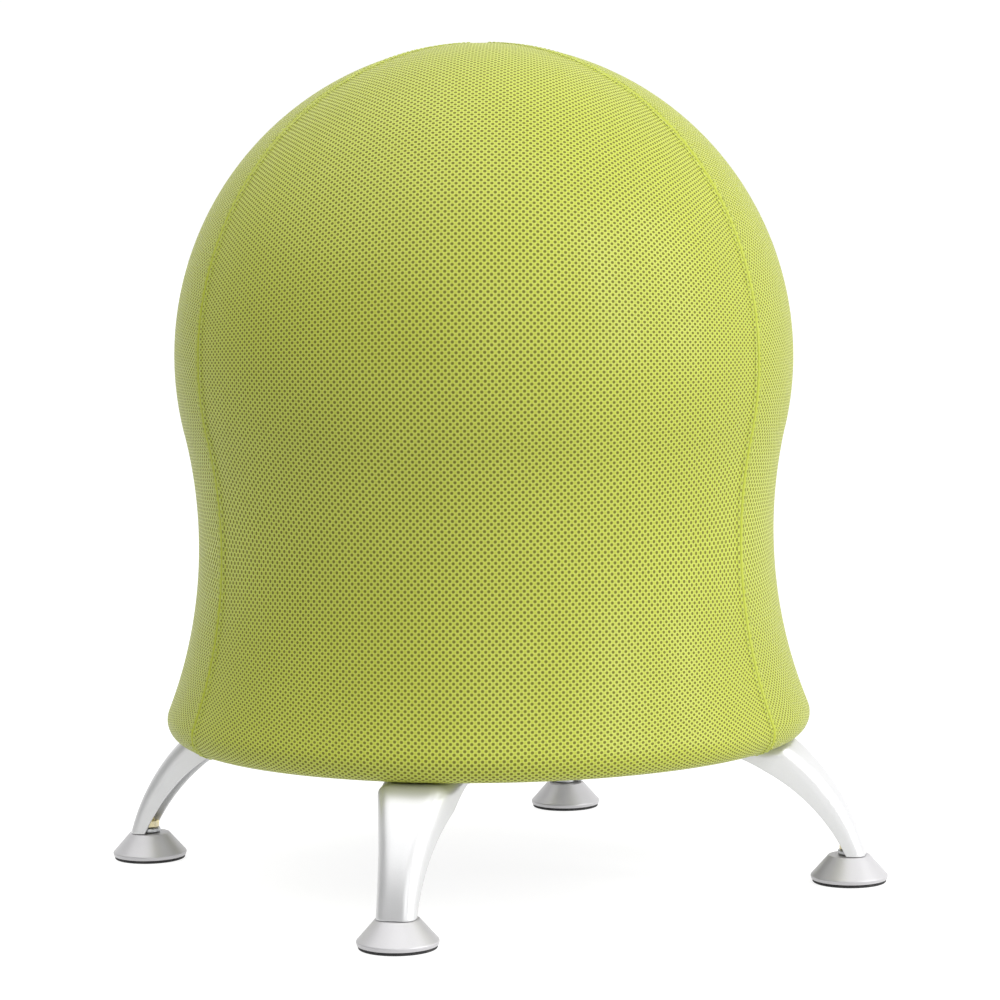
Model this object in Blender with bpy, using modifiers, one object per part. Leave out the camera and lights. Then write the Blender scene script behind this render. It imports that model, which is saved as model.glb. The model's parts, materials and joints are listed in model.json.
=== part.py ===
"""Ball chair: an exercise ball in a fitted mesh cover, carried by a pan and a cradle on four curved legs.

Metres, +Z up.  The origin is on the floor, under the middle of the ball.  One leg stands on each
of -Y (front), +X (right), +Y (back) and -X (left).
"""
import math

import bmesh
import bpy
from mathutils import Matrix, Vector

# ---------------------------------------------------------------- driving dimensions
GAP = 0.0003                # running gap between pieces that touch
CUT_PAST = 0.0050           # how far a cutter runs past the faces it cuts

COVER_RADIUS = 0.2192       # outside of the cover round the middle of the ball
COVER_RISE = 0.2211         # from the middle of the ball to the top of the cover
BALL_MIDDLE = 0.3692        # height of the middle of the ball
COVER_THICK = 0.0025
WAIST_HEIGHT = 0.2435       # narrowest place, where the cover necks in under the ball
FLARE_RADIUS = 0.3296       # radius of the hollow curve from the ball down to the rim
RIM_RADIUS = 0.2295         # widest place of the flare
RIM_ROUND = 0.0150          # radius that turns the rim under
GORES = 3                   # panels of the cover
GORE_TURN = -18.75          # direction of the seam on the right of the front gore, degrees
GORE_INNER = 0.1900         # the gores end here, on the underside
BAND_INNER = 0.1510         # inner edge of the underside band

TURN_STEPS = 36             # facets round the ball, the cover and the pan
LATITUDE_STEP = 10.0        # facets over the ball, degrees
SEAT_STEPS = 4              # the cradle meets the ball this many facets up from its lowest point

BLADDER_THICK = 0.0025
VALVE_HOLE = 0.0045
VALVE_FLANGE = 0.0090
VALVE_PLUG = 0.0060         # how far the plug stands up inside the ball
VALVE_TIP = 0.0015          # height of its tapered tip
VALVE_HEAD = 0.0024
VALVE_EDGE = 0.0006

PAN_WALL = 0.0035
PAN_LIP_TOP = 0.1400        # how far the pan's rim stands up inside the cover
PAN_STEP = 0.1505           # the floor of the pan steps down to the land inside this radius
PAN_LIP = 0.0020            # height over which the rim's inner edge is rounded off
PAN_FLOOR_EDGE = 0.0040     # the floor of the pan ends this far inside the middle of the rim's rounding
LAND_OUTER = 0.1470         # flat land that the legs are bolted against
LAND_INNER = 0.0985
LAND_DROP = 0.0035          # how far the land stands below the floor of the pan
LAND_EDGE = 0.0010          # the land's upper corner stands this far inside its outer edge

CRADLE_INNER = 0.1470       # the cradle's wall, where it stands on the floor of the pan
CRADLE_FLANGE = 0.1610      # outer edge of its foot
CRADLE_CREST = 0.0040       # flat top outside the band that the ball sits on
CRADLE_SEAT = 0.30          # share of one facet of the ball that it sits on
CRADLE_LIP = 0.0045         # thickness of the cradle under the ball

RING_INNER = 0.1000         # steel ring that the leg bolts clamp
RING_OUTER = 0.1450
RING_THICK = 0.0030

LEG_SHEET = 0.0025          # steel sheet of the legs
LEG_END = 0.0195            # height of the leg's lower end
LEG_FACE_RADIUS = 0.1470    # arc of the outer face, seen from the side
LEG_FACE_CENTRE = (0.1285, -0.0176)
LEG_KNEE_RADIUS = 0.0070    # turns the outer face level under the rim
LEG_EDGE_RADIUS = 0.1420    # arc of the lower edges of the two side walls
LEG_EDGE_CENTRE = (0.1298, -0.0409)
LEG_EDGE_KNEE = 0.2050      # radius at which the lower edge is abreast of the knee
LEG_EDGE_TOP = 0.0925       # the lower edges run level from this height
LEG_INNER = 0.1000          # the legs end here, under the pan
LEG_FOOT_WIDTH = 0.0262
LEG_HUB_WIDTH = 0.0680
LEG_FLARE = 1.90            # how late the width grows along the leg
LEG_CORNER = 0.0110         # outer rounding between the face and the side walls
LEG_STEPS = 9               # facets along the leg, from its foot to under the rim

BOLT_PLACES = (0.1120, 0.1340)
BOLT_SHANK = 0.0030
BOLT_HOLE = 0.0034
BOLT_HEAD_RADIUS = 0.0060
BOLT_HEAD = 0.0036
BOLT_END = 0.0012           # thread that stands out past the nut
BOLT_NUT_HEIGHT = 0.0050
BOLT_NUT_RADIUS = 0.0058    # across corners, halved

FOOT_RADIUS = 0.2588        # circle on which the glides stand
GLIDE_BASE = 0.0270
GLIDE_TOP = 0.0150
GLIDE_HEIGHT = 0.0190
GLIDE_LIP = 0.0042          # height of the cone's widest place
GLIDE_EDGE = 0.0006         # small rounding of the cone's edges
PAD_RADIUS = 0.0258
PAD_THICK = 0.0030
PAD_EDGE = 0.0006
PLATE_RADIUS = 0.0080       # round plate closing the lower end of a leg
PLATE_THICK = 0.0032
STUD_RADIUS = 0.0040
STUD_FOOT = 0.0080
STUD_TOP = 0.0320
STUD_HOLE = 0.0043
STUD_EDGE = 0.0006
GLIDE_NUT_RADIUS = 0.0073
GLIDE_NUT_HEIGHT = 0.0050

ZIP_START = 107.0           # direction of the closed end of the zip, degrees
ZIP_SWEEP = 56.0
ZIP_RADIUS = 0.1900
ZIP_WIDTH = 0.0080
ZIP_THICK = 0.0016
SLIDER_LENGTH = 0.0090
SLIDER_WIDTH = 0.0070
SLIDER_PLATE = 0.0028
SLIDER_DROP = 0.0060        # from the top of the slider to the bottom of its bridge
SLIDER_BRIDGE = 0.0030      # width of the bridge that holds the pull
BRIDGE_BAR = 0.0012
BRIDGE_OVERLAP = 0.0010     # how far the bridge runs up into the plate, so that the two join
BRIDGE_SPAN = 0.0044        # length of the opening under the bridge
PULL_WIDTH = 0.0090
PULL_THICK = 0.0012
PULL_LENGTH = 0.0220
PULL_WINDOW = (0.0050, 0.0055)

SIDES = {"front": -90.0, "right": 0.0, "back": 90.0, "left": 180.0}

# ---------------------------------------------------------------- worked out from those
FLARE_CENTRE = math.sqrt((COVER_RADIUS + FLARE_RADIUS) ** 2 - (BALL_MIDDLE - WAIST_HEIGHT) ** 2)
RIM_CENTRE = RIM_RADIUS - RIM_ROUND
RIM_CENTRE_HEIGHT = WAIST_HEIGHT - math.sqrt(
    (FLARE_RADIUS + RIM_ROUND) ** 2 - (FLARE_CENTRE - RIM_CENTRE) ** 2)
COVER_BOTTOM = RIM_CENTRE_HEIGHT - RIM_ROUND
BLADDER_INSET = COVER_THICK + GAP
PAN_UNDER = COVER_BOTTOM + COVER_THICK + GAP
PAN_FLOOR = PAN_UNDER + PAN_WALL
LAND_UNDER = PAN_UNDER - LAND_DROP
LAND_TOP = LAND_UNDER + PAN_WALL
LEG_TOP = LAND_UNDER - GAP
LEG_START = LEG_END - LEG_SHEET     # the skin starts lower, and is trimmed level at LEG_END
RING_UNDER = LAND_TOP + GAP
RING_TOP = RING_UNDER + RING_THICK
ZIP_UNDER = COVER_BOTTOM - GAP - ZIP_THICK
SLIDER_TOP = ZIP_UNDER - GAP
PULL_PIVOT = SLIDER_TOP - SLIDER_PLATE - 0.5 * (SLIDER_DROP - BRIDGE_BAR - SLIDER_PLATE)


# ---------------------------------------------------------------- scene and materials
def clear_scene():
    for item in list(bpy.data.objects):
        bpy.data.objects.remove(item, do_unlink=True)


def new_collection(name):
    collection = bpy.data.collections.new(name)
    bpy.context.scene.collection.children.link(collection)
    return collection


def new_material(name, colour, roughness, metallic=0.0):
    """A Principled material in one colour."""
    material = bpy.data.materials.new(name)
    material.use_nodes = True
    shader = material.node_tree.nodes["Principled BSDF"]
    shader.inputs["Base Color"].default_value = (*colour, 1.0)
    shader.inputs["Roughness"].default_value = roughness
    shader.inputs["Metallic"].default_value = metallic
    return material


clear_scene()
PARTS = new_collection("ball_chair")
CUTTERS = new_collection("cutters")
MESH_GREEN = new_material("air_mesh_green", (0.50, 0.58, 0.06), 0.85)
BALL_VINYL = new_material("ball_vinyl", (0.45, 0.46, 0.48), 0.40)
VALVE_WHITE = new_material("valve_plastic", (0.85, 0.85, 0.82), 0.45)
PAN_BLACK = new_material("pan_plastic", (0.03, 0.03, 0.03), 0.50)
BAND_BLACK = new_material("band_fabric", (0.02, 0.02, 0.02), 0.90)
LEG_SILVER = new_material("leg_silver", (0.78, 0.79, 0.80), 0.32, 0.85)
GLIDE_SILVER = new_material("glide_silver", (0.66, 0.66, 0.68), 0.38, 0.40)
PAD_RUBBER = new_material("pad_rubber", (0.015, 0.015, 0.015), 0.75)
ZINC = new_material("zinc_yellow", (0.70, 0.62, 0.36), 0.35, 1.0)
STEEL = new_material("plain_steel", (0.60, 0.60, 0.60), 0.35, 1.0)
ZIP_BLACK = new_material("zip_nylon", (0.03, 0.03, 0.03), 0.60)


# ---------------------------------------------------------------- modelling helpers
def new_object(name, mesh, material, collection=None):
    item = bpy.data.objects.new(name, mesh)
    (collection or PARTS).objects.link(item)
    if material:
        mesh.materials.append(material)
    return item


def smooth(mesh, sharp_degrees=35.0):
    mesh.shade_smooth()
    mesh.set_sharp_from_angle(angle=math.radians(sharp_degrees))


def baked(item):
    """The mesh of an object with its modifiers applied; the object itself is removed."""
    bpy.context.view_layer.update()
    graph = bpy.context.evaluated_depsgraph_get()
    mesh = bpy.data.meshes.new_from_object(item.evaluated_get(graph))
    bpy.data.objects.remove(item, do_unlink=True)
    return mesh


def profile_mesh(name, outline, closed):
    """A chain of (radius, height) points as a mesh of edges in the XZ plane."""
    mesh = bpy.data.meshes.new(name)
    points = [(radius, 0.0, height) for radius, height in outline]
    edges = [(i, i + 1) for i in range(len(points) - 1)]
    if closed:
        edges.append((len(points) - 1, 0))
    mesh.from_pydata(points, edges, [])
    return mesh


def add_screw(item, degrees, steps):
    screw = item.modifiers.new("Turn", "SCREW")
    screw.axis = "Z"
    screw.angle = math.radians(degrees)
    screw.steps = steps
    screw.render_steps = steps
    screw.use_merge_vertices = True
    screw.merge_threshold = 0.00001
    screw.use_smooth_shade = True


def turned(name, outline, material, closed=True, steps=TURN_STEPS):
    """A full turn of an outline about Z; a closed outline runs clockwise, seen with +X right."""
    item = new_object(name, profile_mesh(name, outline, closed), material)
    add_screw(item, 360.0, steps)
    return item


def turned_mesh(name, outline, material, closed=True, steps=TURN_STEPS):
    mesh = baked(turned(name, outline, material, closed, steps))
    smooth(mesh)
    return mesh


def turned_sheet(name, outline, material, start, sweep, steps, thickness):
    """Part of a turn of an open outline, given a thickness on its inner side."""
    item = new_object(name, profile_mesh(name, outline, False), material)
    add_screw(item, sweep, steps)
    add_solidify(item, thickness)
    item.rotation_euler.z = math.radians(start)
    return item


def add_solidify(item, thickness):
    shell = item.modifiers.new("Thickness", "SOLIDIFY")
    shell.thickness = thickness
    shell.offset = -1.0
    shell.use_even_offset = True
    return shell


def cylinders(name, places, radius, low, high, segments=12):
    """Upright cylinders at the given (x, y) places, as one cutter."""
    builder = bmesh.new()
    for x, y in places:
        middle = Matrix.Translation((x, y, 0.5 * (low + high)))
        bmesh.ops.create_cone(builder, cap_ends=True, segments=segments, radius1=radius,
                              radius2=radius, depth=high - low, matrix=middle)
    return as_cutter(name, builder)


def as_cutter(name, builder):
    mesh = bpy.data.meshes.new(name)
    builder.to_mesh(mesh)
    builder.free()
    cutter = new_object(name, mesh, None, CUTTERS)
    cutter.hide_render = True
    cutter.display_type = "WIRE"
    return cutter


def box(builder, centre, size):
    shape = Matrix.Translation(centre) @ Matrix.Diagonal((*size, 1.0))
    bmesh.ops.create_cube(builder, size=1.0, matrix=shape)


def box_cutter(name, centre, size):
    builder = bmesh.new()
    box(builder, centre, size)
    return as_cutter(name, builder)


def cut(item, cutter, operation="DIFFERENCE"):
    boolean = item.modifiers.new("Cut", "BOOLEAN")
    boolean.operation = operation
    boolean.solver = "EXACT"
    boolean.object = cutter


def arc(centre, radius, start, end, steps):
    """Points along an arc in the (radius, height) plane, angles in degrees."""
    points = []
    for i in range(steps + 1):
        angle = math.radians(start + (end - start) * i / steps)
        points.append((centre[0] + radius * math.cos(angle), centre[1] + radius * math.sin(angle)))
    return points


def spaced(points, steps):
    """A chain of points replaced by others at equal distances along it."""
    chain = [Vector(point) for point in points]
    lengths = [(b - a).length for a, b in zip(chain, chain[1:])]
    result = [chain[0]]
    for i in range(1, steps):
        left = sum(lengths) * i / steps
        j = 0
        while left > lengths[j]:
            left -= lengths[j]
            j += 1
        result.append(chain[j].lerp(chain[j + 1], left / lengths[j]))
    result.append(chain[-1])
    return result


# ---------------------------------------------------------------- outline of ball and cover
def ball_point(latitude, inset):
    """A point of the ball's outline, the given distance inside the cover's outer surface."""
    angle = math.radians(latitude)
    radius = (COVER_RADIUS - inset) * math.cos(angle)
    height = BALL_MIDDLE + (COVER_RISE - inset) * math.sin(angle)
    return radius, height


def ball_outline(inset, top, bottom, step=LATITUDE_STEP):
    """Points over the ball from the top latitude down to the bottom one, in whole steps."""
    count = round((top - bottom) / step)
    return [ball_point(top - step * i, inset) for i in range(count + 1)]


def cover_skirt(inset):
    """The hollow curve from under the ball to the rim, then the rim's rounding to level."""
    ball_side = math.degrees(math.atan2(BALL_MIDDLE - WAIST_HEIGHT, -FLARE_CENTRE))
    rim_side = math.degrees(math.atan2(RIM_CENTRE_HEIGHT - WAIST_HEIGHT, RIM_CENTRE - FLARE_CENTRE))
    flare_centre = (FLARE_CENTRE, WAIST_HEIGHT)
    flare = arc(flare_centre, FLARE_RADIUS + inset, ball_side, rim_side + 360.0, 7)
    rim_centre = (RIM_CENTRE, RIM_CENTRE_HEIGHT)
    rounding = arc(rim_centre, RIM_ROUND - inset, rim_side + 180.0, -90.0, 4)
    return flare + rounding[1:]


def cover_outline(inset):
    """One face of the cover, from the crown to its edge on the underside."""
    over_ball = ball_outline(inset, 90.0 - LATITUDE_STEP, -LATITUDE_STEP)
    crown = (0.0, BALL_MIDDLE + COVER_RISE - inset)
    return [crown] + over_ball + cover_skirt(inset) + [(GORE_INNER, COVER_BOTTOM + inset)]


# ---------------------------------------------------------------- cover
def gore_wedge(name, start):
    """An upright wedge that holds one gore, half a gap inside the seams on both of its sides."""
    half_turn = math.radians(180.0 / GORES)
    middle = math.radians(start) + half_turn
    apex = 0.5 * GAP / math.sin(half_turn)
    reach = 3.0 * RIM_RADIUS
    builder = bmesh.new()
    corners = [(apex, 0.0)]
    for share in (-1.0, 0.0, 1.0):
        corners.append((apex + reach * math.cos(share * half_turn), reach * math.sin(share * half_turn)))
    floor = builder.faces.new([builder.verts.new((x, y, 0.0)) for x, y in corners])
    grown = bmesh.ops.extrude_face_region(builder, geom=[floor])["geom"]
    lifted = [item for item in grown if isinstance(item, bmesh.types.BMVert)]
    bmesh.ops.translate(builder, verts=lifted, vec=(0.0, 0.0, 2.0 * BALL_MIDDLE))
    bmesh.ops.recalc_face_normals(builder, faces=builder.faces)
    bmesh.ops.rotate(builder, verts=builder.verts, matrix=Matrix.Rotation(middle, 3, "Z"))
    return as_cutter(name, builder)


def make_cover():
    shell = cover_outline(0.0) + cover_outline(COVER_THICK)[::-1]
    names = ("cover_gore_back_right", "cover_gore_back_left", "cover_gore_front")
    for i, name in enumerate(names):
        gore = turned(name, shell, MESH_GREEN, closed=False)
        gore.rotation_euler.z = math.radians(GORE_TURN)
        seam = GORE_TURN + i * 360.0 / GORES
        cut(gore, gore_wedge(name + "_wedge", seam), "INTERSECT")
    top = COVER_BOTTOM + COVER_THICK
    outer = GORE_INNER - GAP
    band = [(outer, top), (outer, COVER_BOTTOM), (BAND_INNER, COVER_BOTTOM), (BAND_INNER, top)]
    band_item = turned("cover_underside_band", band, BAND_BLACK)
    band_item.rotation_euler.z = math.radians(GORE_TURN)


def make_zip():
    half = 0.5 * ZIP_WIDTH
    line = [(ZIP_RADIUS + half, ZIP_UNDER), (ZIP_RADIUS - half, ZIP_UNDER)]
    turned_sheet("zip_chain", line, ZIP_BLACK, ZIP_START, ZIP_SWEEP, 14, ZIP_THICK)

    hub = bpy.data.objects.new("zip_slide_axis", None)
    hub.rotation_euler.z = math.radians(ZIP_START + 2.0)
    hub.empty_display_size = 0.02
    PARTS.objects.link(hub)
    make_slider(hub)
    make_pull(hub)


def make_slider(hub):
    """A plate under the chain, with a bridge below it for the pull."""
    builder = bmesh.new()
    box(builder, (ZIP_RADIUS, 0.0, SLIDER_TOP - 0.5 * SLIDER_PLATE),
        (SLIDER_WIDTH, SLIDER_LENGTH, SLIDER_PLATE))
    mesh = bpy.data.meshes.new("zip_slider")
    builder.to_mesh(mesh)
    builder.free()
    slider = new_object("zip_slider", mesh, STEEL)
    slider.parent = hub
    bridge_length = BRIDGE_SPAN + 2.0 * BRIDGE_BAR
    bridge_height = SLIDER_DROP - SLIDER_PLATE + BRIDGE_OVERLAP
    bridge = box_cutter("zip_slider_bridge",
                        (ZIP_RADIUS, 0.0, SLIDER_TOP - SLIDER_DROP + 0.5 * bridge_height),
                        (SLIDER_BRIDGE, bridge_length, bridge_height))
    bridge.parent = hub
    cut(slider, bridge, "UNION")
    opening_height = SLIDER_DROP - SLIDER_PLATE - BRIDGE_BAR
    opening = box_cutter("zip_slider_opening",
                         (ZIP_RADIUS, 0.0, SLIDER_TOP - SLIDER_PLATE - 0.5 * opening_height),
                         (SLIDER_WIDTH, BRIDGE_SPAN, opening_height))
    opening.parent = hub
    cut(slider, opening)


def make_pull(hub):
    """A flat tab whose top bar passes under the slider's bridge; its origin is on that bar."""
    bar = PULL_THICK
    builder = bmesh.new()
    box(builder, (0.0, 0.0, 0.5 * bar - 0.5 * PULL_LENGTH), (PULL_WIDTH, PULL_THICK, PULL_LENGTH))
    mesh = bpy.data.meshes.new("zip_pull")
    builder.to_mesh(mesh)
    builder.free()
    pull = new_object("zip_pull", mesh, STEEL)
    pull.parent = hub
    pull.location = (ZIP_RADIUS, 0.0, PULL_PIVOT)
    width, height = PULL_WINDOW
    window = box_cutter("zip_pull_window", (0.0, 0.0, -0.5 * bar - 0.5 * height),
                        (width, 4.0 * PULL_THICK, height))
    window.parent = pull
    cut(pull, window)


# ---------------------------------------------------------------- ball
def make_ball():
    hole = math.degrees(math.acos(VALVE_HOLE / (COVER_RADIUS - BLADDER_INSET)))
    outer = ball_outline(BLADDER_INSET, 90.0, -90.0 + LATITUDE_STEP)
    outer[0] = (0.0, outer[0][1])
    outer.append(ball_point(-hole, BLADDER_INSET))
    inset = BLADDER_INSET + BLADDER_THICK
    inner = ball_outline(inset, 90.0, -90.0 + 2.0 * LATITUDE_STEP, 2.0 * LATITUDE_STEP)
    inner[0] = (0.0, inner[0][1])
    inner.append((VALVE_HOLE, ball_point(-hole, inset)[1]))
    ball = turned("ball_bladder", outer + inner[::-1], BALL_VINYL, closed=False)
    ball.rotation_euler.z = math.radians(GORE_TURN)

    bottom = ball_point(-90.0, BLADDER_INSET)[1]
    stem = VALVE_HOLE - GAP
    tip = bottom + VALVE_PLUG
    head = bottom - VALVE_HEAD
    plug = [(0.0, tip), (0.6 * stem, tip), (stem, tip - VALVE_TIP), (stem, bottom - GAP),
            (VALVE_FLANGE, bottom - GAP), (VALVE_FLANGE, head + VALVE_EDGE),
            (0.8 * VALVE_FLANGE, head), (0.0, head)]
    turned("ball_valve_plug", plug, VALVE_WHITE, closed=False, steps=18)


# ---------------------------------------------------------------- pan and ring
def pan_outline():
    inset = COVER_THICK + GAP
    skirt = [point for point in cover_skirt(inset) if point[1] < PAN_LIP_TOP]
    lip = skirt[0]
    inner_skirt = [point for point in cover_skirt(inset + PAN_WALL) if PAN_FLOOR < point[1] <= lip[1]]
    lip_inner = (lip[0] - PAN_WALL, lip[1])
    under = [(PAN_STEP, PAN_UNDER), (LAND_OUTER, LAND_UNDER), (LAND_INNER, LAND_UNDER)]
    land = [(LAND_INNER, LAND_TOP), (LAND_OUTER - LAND_EDGE, LAND_TOP), (LAND_OUTER - LAND_EDGE, PAN_FLOOR)]
    floor_outer = (RIM_CENTRE - PAN_FLOOR_EDGE, PAN_FLOOR)
    rim_inside = [point for point in inner_skirt[::-1] if point[1] < lip[1] - PAN_LIP]
    return skirt + under + land + [floor_outer] + rim_inside + [lip_inner]


def cradle_outline():
    """A tapered ring: a foot on the floor of the pan, a wall, and a band that follows the ball."""
    foot = PAN_FLOOR + GAP
    inset = BLADDER_INSET - GAP
    latitude = -90.0 + SEAT_STEPS * LATITUDE_STEP
    outer = Vector(ball_point(latitude, inset))
    inner = outer.lerp(Vector(ball_point(latitude - LATITUDE_STEP, inset)), CRADLE_SEAT)
    crest = (outer.x + CRADLE_CREST, outer.y)
    wall_top = (crest[0] - PAN_WALL, inner.y - CRADLE_LIP)
    return [wall_top, (inner.x, inner.y - CRADLE_LIP), tuple(inner), tuple(outer), crest,
            (CRADLE_INNER + PAN_WALL, foot + PAN_WALL), (CRADLE_FLANGE, foot + PAN_WALL),
            (CRADLE_FLANGE, foot), (CRADLE_INNER, foot)]


def bolt_places():
    places = []
    for degrees in SIDES.values():
        angle = math.radians(degrees)
        for radius in BOLT_PLACES:
            places.append((radius * math.cos(angle), radius * math.sin(angle)))
    return places


def make_pan():
    pan = turned("base_pan", pan_outline(), PAN_BLACK)
    pan.rotation_euler.z = math.radians(GORE_TURN)
    cradle = turned("ball_cradle", cradle_outline(), PAN_BLACK)
    cradle.rotation_euler.z = math.radians(GORE_TURN)
    holes = cylinders("pan_bolt_holes", bolt_places(), BOLT_HOLE,
                      LAND_UNDER - CUT_PAST, LAND_TOP + CUT_PAST)
    cut(pan, holes)

    outline = [(RING_OUTER, RING_TOP), (RING_OUTER, RING_UNDER), (RING_INNER, RING_UNDER),
               (RING_INNER, RING_TOP)]
    ring = turned("support_ring", outline, STEEL)
    ring_holes = cylinders("ring_bolt_holes", bolt_places(), BOLT_HOLE,
                           RING_UNDER - CUT_PAST, RING_TOP + CUT_PAST)
    cut(ring, ring_holes)


# ---------------------------------------------------------------- legs
def leg_face():
    """Side view of the outer face, foot to hub, as two stretches that meet at the knee's end."""
    centre_r, centre_z = LEG_FACE_CENTRE
    foot = math.degrees(math.asin((LEG_START - centre_z) / LEG_FACE_RADIUS))
    drop = (LEG_TOP - LEG_KNEE_RADIUS - centre_z) / (LEG_FACE_RADIUS - LEG_KNEE_RADIUS)
    knee = math.degrees(math.asin(drop))
    reach = LEG_FACE_RADIUS - LEG_KNEE_RADIUS
    knee_centre = (centre_r + reach * math.cos(math.radians(knee)), LEG_TOP - LEG_KNEE_RADIUS)
    curve = arc(LEG_FACE_CENTRE, LEG_FACE_RADIUS, foot, knee, 24)
    bend = arc(knee_centre, LEG_KNEE_RADIUS, knee, 90.0, 8)
    return curve + bend[1:], [bend[-1], (LEG_INNER, LEG_TOP)]


def leg_edge():
    """Side view of the lower edges of the side walls, in the same two stretches."""
    centre_r, centre_z = LEG_EDGE_CENTRE
    foot = math.degrees(math.asin((LEG_START - centre_z) / LEG_EDGE_RADIUS))
    knee = math.degrees(math.acos((LEG_EDGE_KNEE - centre_r) / LEG_EDGE_RADIUS))
    level = math.degrees(math.asin((LEG_EDGE_TOP - centre_z) / LEG_EDGE_RADIUS))
    first = arc(LEG_EDGE_CENTRE, LEG_EDGE_RADIUS, foot, knee, 24)
    second = arc(LEG_EDGE_CENTRE, LEG_EDGE_RADIUS, knee, level, 12)
    return first, second + [(LEG_INNER, LEG_EDGE_TOP)]


def leg_section(face, edge, width):
    """One section of the channel: edge, wall, rounded corner, face, and the same back again."""
    outward = (face - edge).normalized()
    half = 0.5 * width
    rounding = min(LEG_CORNER, 0.6 * (face - edge).length)
    corner = []
    for degrees in (0.0, 30.0, 60.0, 90.0):
        angle = math.radians(degrees)
        side = half - rounding * (1.0 - math.cos(angle))
        place = face - outward * rounding * (1.0 - math.sin(angle))
        corner.append((place[0], side, place[1]))
    right = [(edge[0], half, edge[1])] + corner
    left = [(x, -y, z) for x, y, z in right]
    return left + right[::-1]


def leg_mesh():
    """The stamped channel: a lofted skin given its sheet thickness, with its bolt holes."""
    faces, face_rest = leg_face()
    edges, edge_rest = leg_edge()
    face_points = spaced(faces, LEG_STEPS) + spaced(face_rest, 3)[1:]
    edge_points = spaced(edges, LEG_STEPS) + spaced(edge_rest, 3)[1:]
    last = len(face_points) - 1
    rows = []
    for i, (face, edge) in enumerate(zip(face_points, edge_points)):
        grown = (i / last) ** LEG_FLARE
        rows.append(leg_section(face, edge, LEG_FOOT_WIDTH + (LEG_HUB_WIDTH - LEG_FOOT_WIDTH) * grown))
    count = len(rows[0])
    quads = []
    for i in range(last):
        for j in range(count - 1):
            start = i * count + j
            quads.append((start, start + 1, start + count + 1, start + count))
    mesh = bpy.data.meshes.new("leg")
    mesh.from_pydata([point for row in rows for point in row], [], quads)
    leg = new_object("leg", mesh, LEG_SILVER)
    add_solidify(leg, LEG_SHEET)
    holes = cylinders("leg_bolt_holes", [(radius, 0.0) for radius in BOLT_PLACES], BOLT_HOLE,
                      LEG_TOP - LEG_SHEET - 0.5 * CUT_PAST, LEG_TOP + CUT_PAST)
    cut(leg, holes)
    trim_height = 4.0 * LEG_SHEET
    trim = box_cutter("leg_trim", (FOOT_RADIUS, 0.0, LEG_END - 0.5 * trim_height),
                      (2.0 * GLIDE_BASE, 2.0 * GLIDE_BASE, trim_height))
    cut(leg, trim)
    mesh = baked(leg)
    smooth(mesh, 40.0)
    return mesh


def leg_bolt_mesh():
    """Button head below the leg's face, shank up through leg, pan and ring."""
    head_top = LEG_TOP - LEG_SHEET - GAP
    head_under = head_top - BOLT_HEAD
    end = RING_TOP + GAP + BOLT_NUT_HEIGHT + BOLT_END
    outline = [(0.0, end), (BOLT_SHANK, end), (BOLT_SHANK, head_top), (BOLT_HEAD_RADIUS, head_top),
               (BOLT_HEAD_RADIUS, head_top - 0.4 * BOLT_HEAD), (0.6 * BOLT_HEAD_RADIUS, head_under),
               (0.0, head_under)]
    return turned_mesh("leg_bolt", outline, STEEL, closed=False, steps=14)


def nut_mesh(name, corner, hole, low, height, material):
    """A hexagonal ring; the hole is six-sided too, with the given radius across its flats."""
    inner = hole / math.cos(math.radians(30.0))
    outline = [(corner, low + height), (corner, low), (inner, low), (inner, low + height)]
    mesh = baked(turned(name, outline, material, steps=6))
    mesh.shade_flat()
    return mesh


# ---------------------------------------------------------------- glides
def glide_cone_mesh():
    low = PAD_THICK + GAP
    hole_floor = STUD_FOOT - GAP
    outline = [(STUD_HOLE, GLIDE_HEIGHT), (GLIDE_TOP - GLIDE_EDGE, GLIDE_HEIGHT),
               (GLIDE_TOP, GLIDE_HEIGHT - GLIDE_EDGE), (GLIDE_BASE - GLIDE_EDGE, GLIDE_LIP + GLIDE_EDGE),
               (GLIDE_BASE, GLIDE_LIP), (GLIDE_BASE - GLIDE_EDGE, low), (0.0, low)]
    bore = [(0.0, hole_floor), (STUD_HOLE, hole_floor)]
    return turned_mesh("glide_cone", bore + outline, GLIDE_SILVER, closed=False, steps=24)


def glide_pad_mesh():
    outline = [(0.0, PAD_THICK), (PAD_RADIUS, PAD_THICK), (PAD_RADIUS, PAD_EDGE),
               (PAD_RADIUS - PAD_EDGE, 0.0), (0.0, 0.0)]
    return turned_mesh("glide_pad", outline, PAD_RUBBER, closed=False, steps=24)


def foot_plate_mesh():
    low = LEG_END
    high = low + PLATE_THICK
    outline = [(PLATE_RADIUS, high), (PLATE_RADIUS, low), (STUD_HOLE, low), (STUD_HOLE, high)]
    return turned_mesh("foot_plate", outline, STEEL, steps=20)


def glide_stud_mesh():
    outline = [(0.0, STUD_TOP), (STUD_RADIUS - STUD_EDGE, STUD_TOP), (STUD_RADIUS, STUD_TOP - STUD_EDGE),
               (STUD_RADIUS, STUD_FOOT), (0.0, STUD_FOOT)]
    return turned_mesh("glide_stud", outline, ZINC, closed=False, steps=14)


def place(name, mesh, parent, location, turn=0.0):
    item = bpy.data.objects.new(name, mesh)
    PARTS.objects.link(item)
    item.parent = parent
    item.location = location
    item.rotation_euler.z = math.radians(turn)


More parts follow.
